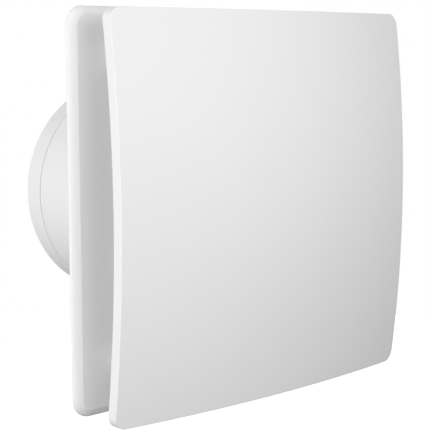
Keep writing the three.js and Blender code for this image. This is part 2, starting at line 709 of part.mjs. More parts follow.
const lidSeatY = BOX.y0 - GAP - LID_T - GAP;
const clampScrewPlaces = CLAMP_SCREW_Z.map((z) => [CLAMP_X, z]);
const controls = assembly(
  part('control_box', controlBox(), 'innerPlastic'),
  part('control_box_lid', controlBoxLid(), 'innerPlastic'),
  ...copies('lid_screw', () => screw(2.6, 1.6, 1.1, 8), 'steel', atDepth(lidSeatY, LID_SCREWS)),
  part('control_board', controlBoard(), 'board'),
  part('power_module', boardPart(9.5, 19, 5.8, -69.5, -61.5), 'blackPlastic'),
  part('capacitor', capacitor(), 'blackPlastic'),
  part('push_switch', boardPart(30, 36, 4, -66.2, -62.2), 'blackPlastic'),
  part('status_led', boardPart(21.7, 24.3, 3.4, -69.3, -67), 'clear'),
  part('status_lens', uprightRod(1.5, BOX.z0 - 0.7, -69.7, LENS_X, BUTTON_Y), 'clear'),
  part('terminal_block', terminalBlock(), 'whitePlastic'),
  ...copies('terminal_screw', terminalScrew, 'steel', atDepth(-9.5, TERMINALS_X.map((x) => [x, TERMINAL_Z]))),
  part('cable_grommet', cableGrommet(), 'rubber', CABLE_X, 0, CABLE_Z),
  part('cable_clamp', cableClamp(), 'greyPlastic'),
  ...copies('clamp_screw', () => screw(1.7, 1.1, 0.7, 4.6), 'steel', atDepth(-10.1, clampScrewPlaces)),
  part('mode_button', modeButton(), 'whitePlastic'),
  part('button_spring', buttonSpring(), 'steel'),
);

const cover = part('front_cover', frontCover(), 'whitePlastic');

const unit = assembly(casing, cover, duct, fan, rotor, filter, controls);

export default unit;
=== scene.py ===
import json
import math

import bmesh
import bpy
from mathutils import Matrix, Vector, noise


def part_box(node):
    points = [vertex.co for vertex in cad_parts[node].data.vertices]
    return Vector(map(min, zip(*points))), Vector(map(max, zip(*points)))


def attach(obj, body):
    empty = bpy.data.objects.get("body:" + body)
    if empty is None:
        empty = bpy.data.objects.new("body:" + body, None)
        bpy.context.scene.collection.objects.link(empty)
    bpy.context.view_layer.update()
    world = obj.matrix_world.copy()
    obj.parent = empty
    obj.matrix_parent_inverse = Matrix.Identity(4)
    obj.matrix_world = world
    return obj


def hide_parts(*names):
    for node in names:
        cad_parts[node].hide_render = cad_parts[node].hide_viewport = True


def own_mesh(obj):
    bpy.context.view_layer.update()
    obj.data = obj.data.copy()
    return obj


# A square wall unit for heat recovery: the looks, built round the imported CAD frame.
# Shapes are in millimetres. The wall is at y = 0, the room at -Y, and up is +Z.
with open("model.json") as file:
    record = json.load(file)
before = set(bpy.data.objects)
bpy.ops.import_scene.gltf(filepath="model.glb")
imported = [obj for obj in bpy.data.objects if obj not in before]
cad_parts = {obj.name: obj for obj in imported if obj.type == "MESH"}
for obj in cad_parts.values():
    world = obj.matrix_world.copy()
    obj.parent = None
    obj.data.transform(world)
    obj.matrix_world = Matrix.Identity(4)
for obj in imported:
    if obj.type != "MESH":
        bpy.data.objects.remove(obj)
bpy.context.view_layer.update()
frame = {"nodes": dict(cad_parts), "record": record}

MM = 0.001
CORNERS = [(-1, -1), (-1, 1), (1, -1), (1, 1)]


def box(node):
    lo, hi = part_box(node)
    return lo / MM, hi / MM


def box_and_axis(node):
    """A node's box, and the x and z of its middle."""
    lo, hi = box(node)
    return lo, hi, (lo.x + hi.x) / 2, (lo.z + hi.z) / 2


# ---- meshes ----
def resize(bm, factor):
    bmesh.ops.scale(bm, vec=(factor,) * 3, verts=list(bm.verts))


def add_loft(bm, rings, closed=False):
    """A skin over rings of equal length. The end rings are capped, or if closed, joined."""
    rows = [[bm.verts.new(point) for point in ring] for ring in rings]
    count = len(rows[0])
    pairs = list(zip(rows, rows[1:]))
    if closed:
        pairs.append((rows[-1], rows[0]))
    for a, b in pairs:
        for i in range(count):
            j = (i + 1) % count
            bm.faces.new((a[i], a[j], b[j], b[i]))
    if not closed:
        bm.faces.new(rows[0][::-1])
        bm.faces.new(rows[-1])


def circle(radius, y, sides, x=0.0, z=0.0):
    turns = [2 * math.pi * i / sides for i in range(sides)]
    return [(x + radius * math.cos(a), y, z + radius * math.sin(a)) for a in turns]


def add_lathe(bm, profile, sides=96, closed=True, x=0.0, z=0.0):
    """A body turned about an axis along Y, from [radius, y] points. closed makes a ring of it."""
    add_loft(bm, [circle(r, y, sides, x, z) for r, y in profile], closed=closed)


def add_upright(bm, profile, x, y, sides=48):
    """A body turned about an upright axis, from [radius, z] points."""
    add_loft(bm, [[(px + x, y - pz, z) for px, _, pz in circle(r, 0, sides)] for r, z in profile])


def square_ring(half, corner, y, corner_steps=12, side_steps=1):
    """Points round a square with round corners; y is a number or a function of x and z."""
    points = []
    flat = half - corner
    centres = [(flat, flat), (-flat, flat), (-flat, -flat), (flat, -flat)]
    for side, (cx, cz) in enumerate(centres):
        start = side * math.pi / 2
        for step in range(corner_steps + 1):
            a = start + step / corner_steps * math.pi / 2
            points.append((cx + corner * math.cos(a), cz + corner * math.sin(a)))
        nx, nz = centres[(side + 1) % 4]
        a = start + math.pi / 2
        end = (nx + corner * math.cos(a), nz + corner * math.sin(a))
        first = points[-1]
        for step in range(1, side_steps):
            t = step / side_steps
            points.append((first[0] + (end[0] - first[0]) * t, first[1] + (end[1] - first[1]) * t))
    depth = y if callable(y) else (lambda px, pz: y)
    return [(px, depth(px, pz), pz) for px, pz in points]


def round_edges(bm, edges, radius, segments):
    bmesh.ops.bevel(
        bm, geom=edges, offset=radius, segments=segments, profile=0.5, affect="EDGES",
        clamp_overlap=True,
    )


def add_brick(bm, lo, hi, radius, turn=0.0):
    """A block with rounded edges, turned about the Y axis."""
    part = bmesh.new()
    bmesh.ops.create_cube(part, size=1.0)
    size = Vector(hi) - Vector(lo)
    middle = (Vector(hi) + Vector(lo)) / 2
    for v in part.verts:
        v.co = Vector((v.co.x * size.x, v.co.y * size.y, v.co.z * size.z)) + middle
    round_edges(part, list(part.edges), radius, 3)
    bmesh.ops.rotate(
        part, cent=(0, 0, 0), matrix=Matrix.Rotation(turn, 3, "Y"), verts=list(part.verts)
    )
    merge(bm, part)


def merge(bm, other):
    """Copies one mesh into another, and frees it."""
    mesh = bpy.data.meshes.new("copy")
    other.to_mesh(mesh)
    other.free()
    bm.from_mesh(mesh)
    bpy.data.meshes.remove(mesh)


def to_object(name, bm):
    """A linked object with the mesh in it. bm is freed."""
    mesh = bpy.data.meshes.new(name)
    bm.to_mesh(mesh)
    bm.free()
    obj = bpy.data.objects.new(name, mesh)
    bpy.context.collection.objects.link(obj)
    return obj


def evaluated_mesh(obj):
    bpy.context.view_layer.update()
    return bpy.data.meshes.new_from_object(obj.evaluated_get(bpy.context.evaluated_depsgraph_get()))


def to_bmesh(mesh):
    """The mesh as a bmesh. mesh is freed."""
    bm = bmesh.new()
    bm.from_mesh(mesh)
    bpy.data.meshes.remove(mesh)
    return bm


def boolean(bm, other, operation):
    """bm with another mesh added or cut away, as a new mesh."""
    for mesh in (bm, other):
        bmesh.ops.recalc_face_normals(mesh, faces=mesh.faces)
    target, tool = to_object("target", bm), to_object("tool", other)
    modifier = target.modifiers.new("cut", "BOOLEAN")
    modifier.object, modifier.operation, modifier.solver = tool, operation, "EXACT"
    result = to_bmesh(evaluated_mesh(target))
    for obj in (target, tool):
        data = obj.data
        bpy.data.objects.remove(obj)
        bpy.data.meshes.remove(data)
    return result


def shade(bm, angle):
    """Smooth faces, with creases where the faces turn by more than angle."""
    for face in bm.faces:
        face.smooth = True
    for edge in bm.edges:
        edge.smooth = len(edge.link_faces) == 2 and edge.calc_face_angle(0.0) < math.radians(angle)


def piece(name, bm, material, body, nodes, angle=32):
    """The finished piece: shaded, in metres, on its body, in place of its CAD nodes."""
    bmesh.ops.recalc_face_normals(bm, faces=bm.faces)
    shade(bm, angle)
    resize(bm, MM)
    obj = to_object(name, bm)
    obj.data.materials.append(material)
    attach(obj, body)
    if nodes:
        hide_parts(*nodes)
    return obj


# ---- materials ----
def shader(material):
    return material.node_tree.nodes["Principled BSDF"]


def new_material(name, color, roughness, metallic=0.0, **sockets):
    material = bpy.data.materials.new(name)
    material.use_nodes = True
    inputs = shader(material).inputs
    inputs["Base Color"].default_value = (*color, 1)
    inputs["Roughness"].default_value = roughness
    inputs["Metallic"].default_value = metallic
    for socket, value in sockets.items():
        inputs[socket.replace("_", " ")].default_value = value
    return material


def add_node(material, kind, **values):
    node = material.node_tree.nodes.new(kind)
    for key, value in values.items():
        node.inputs[key].default_value = value
    return node


def link(material, source, target):
    material.node_tree.links.new(source, target)


def object_coordinates(material, stretch=(1, 1, 1)):
    coordinates = add_node(material, "ShaderNodeTexCoord")
    mapping = add_node(material, "ShaderNodeMapping", Scale=stretch)
    link(material, coordinates.outputs["Object"], mapping.inputs["Vector"])
    return mapping.outputs["Vector"]


def two_tones(material, value, low, high, start, stop):
    """The base colour, from low to high as the value goes from start to stop."""
    ramp = add_node(material, "ShaderNodeValToRGB")
    for element, color, position in zip(ramp.color_ramp.elements, (low, high), (start, stop)):
        element.position = position
        element.color = (*color, 1)
    link(material, value, ramp.inputs["Fac"])
    link(material, ramp.outputs["Color"], shader(material).inputs["Base Color"])


def drifting(material, where, color, spread, scale):
    """Colour that drifts between two close tones."""
    low = tuple(c * (1 - spread) for c in color)
    high = tuple(min(1.0, c * (1 + spread)) for c in color)
    texture = add_node(material, "ShaderNodeTexNoise", Scale=scale, Detail=3.0)
    link(material, where, texture.inputs["Vector"])
    two_tones(material, texture.outputs["Fac"], low, high, 0.3, 0.7)


def rough_between(material, where, scale, low, high):
    texture = add_node(material, "ShaderNodeTexNoise", Scale=scale, Detail=4.0)
    link(material, where, texture.inputs["Vector"])
    spread = add_node(material, "ShaderNodeMapRange")
    spread.inputs["From Min"].default_value, spread.inputs["From Max"].default_value = 0.3, 0.7
    spread.inputs["To Min"].default_value, spread.inputs["To Max"].default_value = low, high
    link(material, texture.outputs["Fac"], spread.inputs["Value"])
    link(material, spread.outputs["Result"], shader(material).inputs["Roughness"])


def bump(material, height, strength, distance_mm):
    node = add_node(material, "ShaderNodeBump", Strength=strength, Distance=distance_mm * MM)
    link(material, height, node.inputs["Height"])
    link(material, node.outputs["Normal"], shader(material).inputs["Normal"])


def moulded(name, color, roughness, grain_mm, relief_mm, spread=0.012, **sockets):
    """Moulded plastic: a hair of colour drift, uneven gloss and a fine grain."""
    material = new_material(name, color, roughness, **sockets)
    where = object_coordinates(material)
    drifting(material, where, color, spread, 22)
    rough_between(material, where, 60, roughness - 0.04, roughness + 0.04)
    grain = add_node(material, "ShaderNodeTexNoise", Scale=1 / (grain_mm * MM), Detail=2.0)
    link(material, where, grain.inputs["Vector"])
    bump(material, grain.outputs["Fac"], 0.5, relief_mm)
    return material


def cellular(name, pore_shade, light, cell_mm, relief_mm, roughness=0.95):
    """Foam: open or closed cells, with painted shade darkening the pores between light ribs."""
    material = new_material(name, light, roughness)
    where = object_coordinates(material)
    cells = add_node(material, "ShaderNodeTexVoronoi", Scale=1 / (cell_mm * MM))
    link(material, where, cells.inputs["Vector"])
    # painted shade: the colour darkens towards each cell's hollow middle
    two_tones(material, cells.outputs["Distance"], pore_shade, light, 0.12, 0.6)
    bump(material, cells.outputs["Distance"], 0.9, relief_mm)
    return material


def drawn_metal(name, color, roughness, stretch=(1, 1, 1), grain_mm=0.5, spread=0.06):
    """Metal with fine lines along one direction."""
    material = new_material(name, color, roughness, metallic=1.0)
    where = object_coordinates(material, stretch)
    drifting(material, where, color, spread, 1 / (grain_mm * MM))
    rough_between(material, where, 0.7 / (grain_mm * MM), roughness - 0.06, roughness + 0.08)
    lines = add_node(material, "ShaderNodeTexNoise", Scale=1.5 / (grain_mm * MM), Detail=2.0)
    link(material, where, lines.inputs["Vector"])
    bump(material, lines.outputs["Fac"], 0.3, 0.02)
    return material


def banded(material, pitch_mm, direction, distortion, strength, relief_mm):
    """Even ridges across one direction, in place of the metal's fine lines."""
    where = object_coordinates(material)
    scale = 1 / (pitch_mm * MM) / (2 * math.pi)
    bands = add_node(material, "ShaderNodeTexWave", Scale=scale, Distortion=distortion)
    bands.bands_direction = direction
    link(material, where, bands.inputs["Vector"])
    bump(material, bands.outputs["Fac"], strength, relief_mm)
    return material


def circuit(name):
    """Solder mask over copper tracks."""
    material = new_material(name, (0.02, 0.16, 0.07), 0.3, Coat_Weight=0.4)
    where = object_coordinates(material)
    tracks = add_node(material, "ShaderNodeTexBrick", Scale=1 / (6 * MM))
    tracks.inputs["Color1"].default_value = (0.015, 0.15, 0.065, 1)
    tracks.inputs["Color2"].default_value = (0.02, 0.18, 0.08, 1)
    tracks.inputs["Mortar"].default_value = (0.05, 0.30, 0.14, 1)
    tracks.inputs["Mortar Size"].default_value = 0.04
    link(material, where, tracks.inputs["Vector"])
    link(material, tracks.outputs["Color"], shader(material).inputs["Base Color"])
    rough_between(material, where, 300, 0.24, 0.36)
    bump(material, tracks.outputs["Fac"], 0.4, 0.03)
    return material


# name, colour, roughness, grain and relief in millimetres
WHITE = moulded(
    "white_shell", (0.83, 0.83, 0.83), 0.42, 0.9, 0.004, spread=0.006, Specular_IOR_Level=0.4
)
INNER = moulded("inner_moulding", (0.76, 0.76, 0.75), 0.52, 0.45, 0.03)
GREY = moulded("grey_moulding", (0.16, 0.165, 0.18), 0.45, 0.5, 0.02, spread=0.04)
BLACK = moulded("black_component", (0.022, 0.022, 0.024), 0.4, 0.3, 0.02, spread=0.1)
RUBBER = moulded("rubber", (0.035, 0.035, 0.037), 0.72, 0.35, 0.03, spread=0.12)
JACKET = moulded("lead_jacket", (0.02, 0.02, 0.022), 0.5, 0.3, 0.01, spread=0.1)
CERAMIC = moulded("ceramic", (0.62, 0.53, 0.41), 0.9, 0.35, 0.05, spread=0.09)
FERRITE = moulded("ferrite", (0.045, 0.042, 0.042), 0.6, 0.3, 0.03, spread=0.15)
FILTER_FOAM = cellular("filter_foam", (0.012, 0.013, 0.015), (0.075, 0.08, 0.09), 0.9, 0.35)
SEALING_FOAM = cellular(
    "sealing_foam", (0.03, 0.032, 0.035), (0.095, 0.10, 0.108), 0.35, 0.08, roughness=0.85
)
SHEET_STEEL = drawn_metal("motor_steel", (0.5, 0.5, 0.51), 0.34, stretch=(1, 8, 1))
LAMINATIONS = banded(
    drawn_metal("stator_laminations", (0.42, 0.42, 0.44), 0.42),
    pitch_mm=1.0, direction="Y", distortion=0.2, strength=0.6, relief_mm=0.05,
)
SCREW_STEEL = drawn_metal("bright_steel", (0.66, 0.66, 0.66), 0.27, grain_mm=0.3)
COPPER = banded(
    drawn_metal("copper_wire", (0.72, 0.27, 0.1), 0.28, spread=0.12),
    pitch_mm=0.4, direction="DIAGONAL", distortion=0.6, strength=0.8, relief_mm=0.08,
)
BOARD = circuit("circuit_board")
CLEAR = moulded("clear_plastic", (0.8, 0.85, 0.86), 0.12, 0.5, 0.01, Transmission_Weight=0.7)


# ---- front cover ----
lo, hi = box("front_cover")
COVER_HALF, COVER_CORNER = hi.x, 5.0
BOW_X, BOW_Z = 5.65, 5.9  # how far the sides and the top and bottom fall back from the middle
RIM_DEPTH, RIM_WIDTH, SKIN = 4.9, 2.2, 2.6
FRONT_ROUND, BACK_ROUND = 0.22, 0.3  # radii of the rim's front and back edges
CORNER_STEPS, SIDE_STEPS = 14, 40
POST_X, POST_Z = 59.0, 60.0
apex, post_tip = lo.y, hi.y


def cover_y(x, z):
    return apex + BOW_X * (x / COVER_HALF) ** 2 + BOW_Z * (z / COVER_HALF) ** 2


def cover_ring(inset, offset):
    half = COVER_HALF - inset
    corner = max(COVER_CORNER - inset, 0.45)
    return square_ring(
        half, corner, lambda x, z: cover_y(x, z) + offset, CORNER_STEPS, SIDE_STEPS
    )


# The skin runs from the middle of the front, round the rim, to the middle of the back.
bm = bmesh.new()
insets = [79.5, 76, 70, 64, 58, 52, 46, 40, 34, 28, 22, 16, 10, 5, 2.6]
rings = [cover_ring(inset, 0) for inset in (*insets, 1.6, 0.8, 0.35)]
for step in range(5):
    a = step / 4 * math.pi / 2
    rings.append(cover_ring(FRONT_ROUND * (1 - math.sin(a)), FRONT_ROUND * (1 - math.cos(a))))
rings += [cover_ring(0, 0.4), cover_ring(0, RIM_DEPTH - 0.5)]
for step in range(4):
    a = step / 3 * math.pi / 2
    offset = RIM_DEPTH - BACK_ROUND * (1 - math.sin(a))
    rings.append(cover_ring(BACK_ROUND * (1 - math.cos(a)), offset))
rings += [cover_ring(RIM_WIDTH - 0.2, RIM_DEPTH), cover_ring(RIM_WIDTH, RIM_DEPTH - 0.2)]
rings += [cover_ring(RIM_WIDTH, SKIN + 0.4), cover_ring(RIM_WIDTH + 0.4, SKIN)]
rings += [cover_ring(inset, SKIN) for inset in reversed(insets[:-1])]
add_loft(bm, rings)
piece("cover_shell", bm, WHITE, "cover", ["front_cover"], 40)

# Each post stands on a cross of two ribs and ends in a snap.
bm = bmesh.new()
for sx, sz in CORNERS:
    x, z = POST_X * sx, POST_Z * sz
    top = cover_y(x, z) + 1.2
    add_lathe(bm, [
        (5.6, top), (4.6, top + 1.4), (4.4, top + 2.4), (4.4, -12.6), (4.2, -12.4), (2.9, -12.4),
        (2.9, -7.6), (2.9, -6.4), (2.5, post_tip), (0.4, post_tip),
    ], 48, closed=False, x=x, z=z)
    for dx, dz in ((0.6, 5.4), (5.4, 0.6)):
        add_brick(bm, (x - dx, top - 0.6, z - dz), (x + dx, top + 4.2, z + dz), 0.2)
piece("cover_posts", bm, WHITE, "cover", [])


# ---- rear housing ----
lo, hi = box("rear_housing")
HOUSING_HALF, HOUSING_CORNER, FRONT_Y = hi.x, 7.6, -3.2
SOCKET_FRONT, SOCKET_FLOOR, SOCKET_BORE_R = lo.y, -4.4, 4.5
POCKET_HALF, POCKET_CORNER, PLATE_SKIN = 76.5, 4, 1.8
CLAMP_XZ, CLAMP_BORE_R = 47, 1.7
WALL_SCREW_X, WALL_SCREW_Z, WALL_BORE_R = 60, 35, 2.3
CABLE_X, CABLE_Z, CABLE_BORE_R = -33, -66.6, 4.8
DUCT_OPENING_R = 49.55
LIP = [
    (0, 0), (0, -0.35), (0.03, -0.62), (0.12, -0.9), (0.28, -1.18), (0.5, -1.45), (0.78, -1.72),
    (1.12, -2.0), (1.52, -2.28), (1.98, -2.54), (2.45, -2.78), (2.85, -2.98), (3.2, -3.15),
    (3.25, FRONT_Y),
]  # [inset, y] round the plate's front edge


def drill(holes, radius, sides=24, x=0.0, z=0.0, y0=-20, y1=10):
    """Adds a round cutter, by default one that goes through the whole plate."""
    add_lathe(holes, [(radius, y0), (radius, y1)], sides, closed=False, x=x, z=z)


bm = bmesh.new()
add_loft(bm, [
    square_ring(HOUSING_HALF - inset, HOUSING_CORNER - inset, y, 16)
    for inset, y in [(3.0, 0), (0.3, 0), *LIP, (3.6, FRONT_Y)]
])
pocket = bmesh.new()
add_loft(pocket, [
    square_ring(POCKET_HALF, POCKET_CORNER, y) for y in (FRONT_Y + PLATE_SKIN, 1)
])
bm = boolean(bm, pocket, "DIFFERENCE")
bosses = bmesh.new()
for sx, sz in CORNERS:
    add_lathe(bosses, [
        (4, FRONT_Y + 0.9), (4, -0.5), (3.8, -0.3),
    ], 32, closed=False, x=CLAMP_XZ * sx, z=CLAMP_XZ * sz)
for sx, sz in CORNERS:
    add_lathe(bosses, [
        (5.15, FRONT_Y + 0.9), (5.15, SOCKET_FRONT + 0.3), (5.08, SOCKET_FRONT + 0.1),
        (4.95, SOCKET_FRONT),
    ], 48, closed=False, x=POST_X * sx, z=POST_Z * sz)
bm = boolean(bm, bosses, "UNION")
holes = bmesh.new()
drill(holes, DUCT_OPENING_R, 160)
drill(holes, CABLE_BORE_R, 32, CABLE_X, CABLE_Z)
for sx, sz in CORNERS:
    drill(holes, CLAMP_BORE_R, 24, CLAMP_XZ * sx, CLAMP_XZ * sz)
    drill(holes, SOCKET_BORE_R, 40, POST_X * sx, POST_Z * sz, SOCKET_FRONT - 1, SOCKET_FLOOR)
    drill(holes, WALL_BORE_R, 24, WALL_SCREW_X * sx, WALL_SCREW_Z * sz)
bm = boolean(bm, holes, "DIFFERENCE")
piece("housing_plate", bm, WHITE, "casing", ["rear_housing"], 19)


# ---- duct ----
FLANGE_HALF, FLANGE_CORNER, FLANGE_DEPTH, FLANGE_EDGE = 52, 7, 2, 0.3
SPIGOT_FLANGE_BORE_R, FAN_FLANGE_BORE_R = 49.4, 46.6


def flange(y0, bore_r, sides, notch=None):
    """A square plate with a bore, four screw holes and, for the lead, perhaps a notch."""
    plate = bmesh.new()
    y1 = y0 + FLANGE_DEPTH
    add_loft(plate, [
        square_ring(FLANGE_HALF - FLANGE_EDGE, FLANGE_CORNER - FLANGE_EDGE, y0),
        square_ring(FLANGE_HALF, FLANGE_CORNER, y0 + FLANGE_EDGE),
        square_ring(FLANGE_HALF, FLANGE_CORNER, y1 - FLANGE_EDGE),
        square_ring(FLANGE_HALF - FLANGE_EDGE, FLANGE_CORNER - FLANGE_EDGE, y1),
    ])
    cutters = bmesh.new()
    drill(cutters, bore_r, sides)
    for sx, sz in CORNERS:
        drill(cutters, CLAMP_BORE_R, 24, CLAMP_XZ * sx, CLAMP_XZ * sz)
    if notch:
        add_brick(cutters, *notch, 0.3)
    return boolean(plate, cutters, "DIFFERENCE")


lo, hi = box("duct_spigot")
SPIGOT_R, SPIGOT_BORE_R, SEAM_Y = 49.25, 47.25, hi.y
bm = bmesh.new()
add_lathe(bm, [
    (SPIGOT_BORE_R, lo.y), (SPIGOT_R + 1, lo.y), (SPIGOT_R + 1, lo.y + 1), (SPIGOT_R, lo.y + 1.6),
    (SPIGOT_R, lo.y + 2.4), (SPIGOT_R, SEAM_Y - 0.5), (SPIGOT_R, SEAM_Y - 0.2),
    (SPIGOT_R - 0.1, SEAM_Y - 0.1), (SPIGOT_BORE_R, SEAM_Y - 0.1), (SPIGOT_BORE_R, SEAM_Y - 1),
], 180)
piece("spigot_tube", bm, WHITE, "casing", ["duct_spigot"])
bm = flange(lo.y, SPIGOT_FLANGE_BORE_R, 160)
piece("spigot_flange", bm, WHITE, "casing", [])

lo, hi = box("spigot_end_ring")
END_Y = hi.y
BARS, BAR_LENGTH, BAR_WIDTH, BAR_Y0, BAR_Y1 = 3, 95, 2.2, 75.7, 78.3
bm = bmesh.new()
add_lathe(bm, [
    (45.4, 64.2), (45.6, 64), (46.7, 64), (46.9, 64.2), (46.9, 69.6), (SPIGOT_R - 0.1, 69.6),
    (SPIGOT_R, 69.7), (SPIGOT_R, 70), (SPIGOT_R, END_Y - 1.0), (SPIGOT_R, END_Y - 0.7),
    (SPIGOT_R - 0.2, END_Y - 0.2), (SPIGOT_R - 0.7, END_Y), (47.3, END_Y), (47, END_Y - 0.3),
    (47, 71), (45.4, 71),
], 180)
bar_lo = (-BAR_LENGTH / 2, BAR_Y0, -BAR_WIDTH / 2)
bar_hi = (BAR_LENGTH / 2, BAR_Y1, BAR_WIDTH / 2)
for i in range(BARS):
    add_brick(bm, bar_lo, bar_hi, 0.35, i * math.pi / BARS)
add_lathe(bm, [
    (7.9, 78.5), (8.7, 78.35), (9, 78), (9, 76), (8.7, 75.65), (7.9, 75.5),
], 64, closed=False)
piece("spigot_end", bm, WHITE, "casing", ["spigot_end_ring"])


CELL_PITCH, CELL_WALL = 2.8, 0.55
CLOSED_EDGE, CORE_RIM = 0.8, 0.9  # what stays solid inside the lattice's edge, and round it


def honeycomb(pitch, wall, radius, y0, y1):
    """Square through-cells in a round block: a lattice on both ends, joined by the cells' walls."""
    mesh = bmesh.new()
    reach = int(radius / pitch) + 1
    half = (pitch - wall) / 2
    grid = {}

    def corner(i, j, y):
        """A corner shared by four cells, drawn in to the block's edge where it lies outside."""
        key = (i, j, y)
        if key not in grid:
            x, z = (i - 0.5) * pitch, (j - 0.5) * pitch
            r = math.hypot(x, z)
            if r > radius:
                x, z = x * radius / r, z * radius / r
            grid[key] = mesh.verts.new((x, y, z))
        return grid[key]

    for i in range(-reach, reach + 1):
        for j in range(-reach, reach + 1):
            spots = [(i, j), (i + 1, j), (i + 1, j + 1), (i, j + 1)]
            distances = [math.hypot((a - 0.5) * pitch, (b - 0.5) * pitch) for a, b in spots]
            if min(distances) >= radius:
                continue
            open_cell = max(distances) < radius - CLOSED_EDGE
            tunnel = []
            for y in (y0, y1):
                outer = [corner(a, b, y) for a, b in spots]
                if not open_cell:
                    if len(set(v.co.to_tuple(4) for v in outer)) == 4:
                        mesh.faces.new(outer)
                    continue
                x, z = i * pitch, j * pitch
                inner = [
                    mesh.verts.new((x + half * sx, y, z + half * sz))
                    for sx, sz in ((-1, -1), (1, -1), (1, 1), (-1, 1))
                ]
                for k in range(4):
                    after = (k + 1) % 4
                    mesh.faces.new((outer[k], outer[after], inner[after], inner[k]))
                tunnel.append(inner)
            if open_cell:
                near, far = tunnel
                for k in range(4):
                    after = (k + 1) % 4
                    mesh.faces.new((near[k], near[after], far[after], far[k]))
    return mesh


lo, hi = box("heat_exchanger_core")
CORE_R = hi.x
bm = honeycomb(CELL_PITCH, CELL_WALL, CORE_R - CORE_RIM, lo.y, hi.y)
add_lathe(bm, [
    (CORE_R - 1.0, lo.y), (CORE_R - 0.3, lo.y), (CORE_R, lo.y + 0.3), (CORE_R, hi.y - 0.3),
    (CORE_R - 0.3, hi.y), (CORE_R - 1.0, hi.y),
], 120)
piece("ceramic_honeycomb", bm, CERAMIC, "casing", ["heat_exchanger_core"])


# ---- foam parts ----
# [share of the half width, share of the half thickness], from a pad's middle to its edge
DISC_SHARES = [
    (0.02, 1), (0.15, 1), (0.3, 1), (0.45, 1), (0.6, 1), (0.75, 1), (0.88, 1), (0.96, 0.86),
    (0.985, 0.86), (1.0, 0.45),
]
SQUARE_SHARES = [
    (0.02, 1), (0.14, 1), (0.28, 1), (0.42, 1), (0.56, 1), (0.7, 1), (0.84, 1), (0.94, 0.9),
    (0.985, 0.9), (1.0, 0.5),
]


def wander(point, size_mm, amount_mm):
    return noise.noise(Vector(point) / size_mm) * amount_mm


def foam_pad(outline, shares, lo, hi, least_mm, size_mm, amount_mm):
    """A pad with uneven cut faces and a soft edge. outline gives a ring for a share and a y."""
    mesh = bmesh.new()
    middle, half = (lo.y + hi.y) / 2, (hi.y - lo.y) / 2
    rings = []
    for side, order in ((-1, shares), (1, shares[::-1])):
        for share, thickness in order:
            lift = half * thickness
            ring = []
            for x, y, z in outline(share, middle + side * lift):
                depth = least_mm + abs(wander((x, side * 9, z), size_mm, amount_mm))
                ring.append((x, y - side * min(depth, lift * 0.4), z))
            rings.append(ring)
    add_loft(mesh, rings)
    return mesh


lo, hi = box("core_filter")
bm = foam_pad(
    lambda share, y: circle(hi.x * share, y, 96), DISC_SHARES, lo, hi,
    least_mm=0.08, size_mm=4.0, amount_mm=0.35,
)
pad = piece("core_filter_foam", bm, FILTER_FOAM, "casing", ["core_filter"])

lo, hi = box("filter_mat")
MAT_HALF, MAT_CORNER = hi.x, 1.6


def mat_outline(share, y):
    half = MAT_HALF * share
    return square_ring(half, min(MAT_CORNER, half * 0.9), y, 6, 20)


bm = foam_pad(mat_outline, SQUARE_SHARES, lo, hi, least_mm=0.1, size_mm=5.0, amount_mm=0.7)
pad = piece("filter_mat_foam", bm, FILTER_FOAM, "filter_cassette", ["filter_mat"])

lo, hi = box("core_sleeve")
bm = bmesh.new()
ribs = [
    (hi.x - 0.04 - 0.12 * (i % 2), lo.y + 0.3 + (hi.y - lo.y - 0.6) * i / 12) for i in range(13)
]
add_lathe(bm, [
    (CORE_R + 0.4, lo.y), (hi.x - 0.3, lo.y), *ribs, (hi.x - 0.3, hi.y), (CORE_R + 0.4, hi.y),
], 120)
pad = piece("core_sleeve_foam", bm, SEALING_FOAM, "casing", ["core_sleeve"])

lo, hi = box("wall_gasket")
bm = bmesh.new()
GASKET_WIDTH = 3.4
outer, inner = hi.x, hi.x - GASKET_WIDTH
section = [
    (inner + 0.3, hi.y), (outer - 0.3, hi.y), (outer, hi.y - 0.3), (outer, lo.y + 0.2),
    (outer - 0.2, lo.y), (inner + 0.2, lo.y), (inner, lo.y + 0.2), (inner, hi.y - 0.3),
]
rings = []
for half, y in section:
    uneven = 1 if y > -0.5 else 0  # only the side towards the wall is uneven
    rings.append([
        (x, ry - abs(wander((x, ry, z), 3.0, 0.12)) * uneven, z)
        for x, ry, z in square_ring(half, 4 - (outer - half) * 0.3, y, 8, 48)
    ])
add_loft(bm, rings, closed=True)
pad = piece("wall_gasket_foam", bm, SEALING_FOAM, "casing", ["wall_gasket"])


# ---- fan ----
BLADES, BLADE_ROOT_R, BLADE_TIP_R, BLADE_Y = 7, 17.8, 44.2, 2.8
BLADE_STATIONS, BLADE_POINTS = 12, 20
# the blade at its root, and how much it changes by its tip
CHORD, WIDENING = 16, 9
PITCH_DEGREES, UNTWIST = 42, 19
HALF_THICKNESS, THINNING = 1.1, 0.3
FAN_FLANGE_Y = -7.8
STRUTS, STRUT_LO, STRUT_HI = 6, (-1, 14.9, -46), (1, 20.3, -16.8)
NOTCH_HI = (1.5, 14.6, -44)


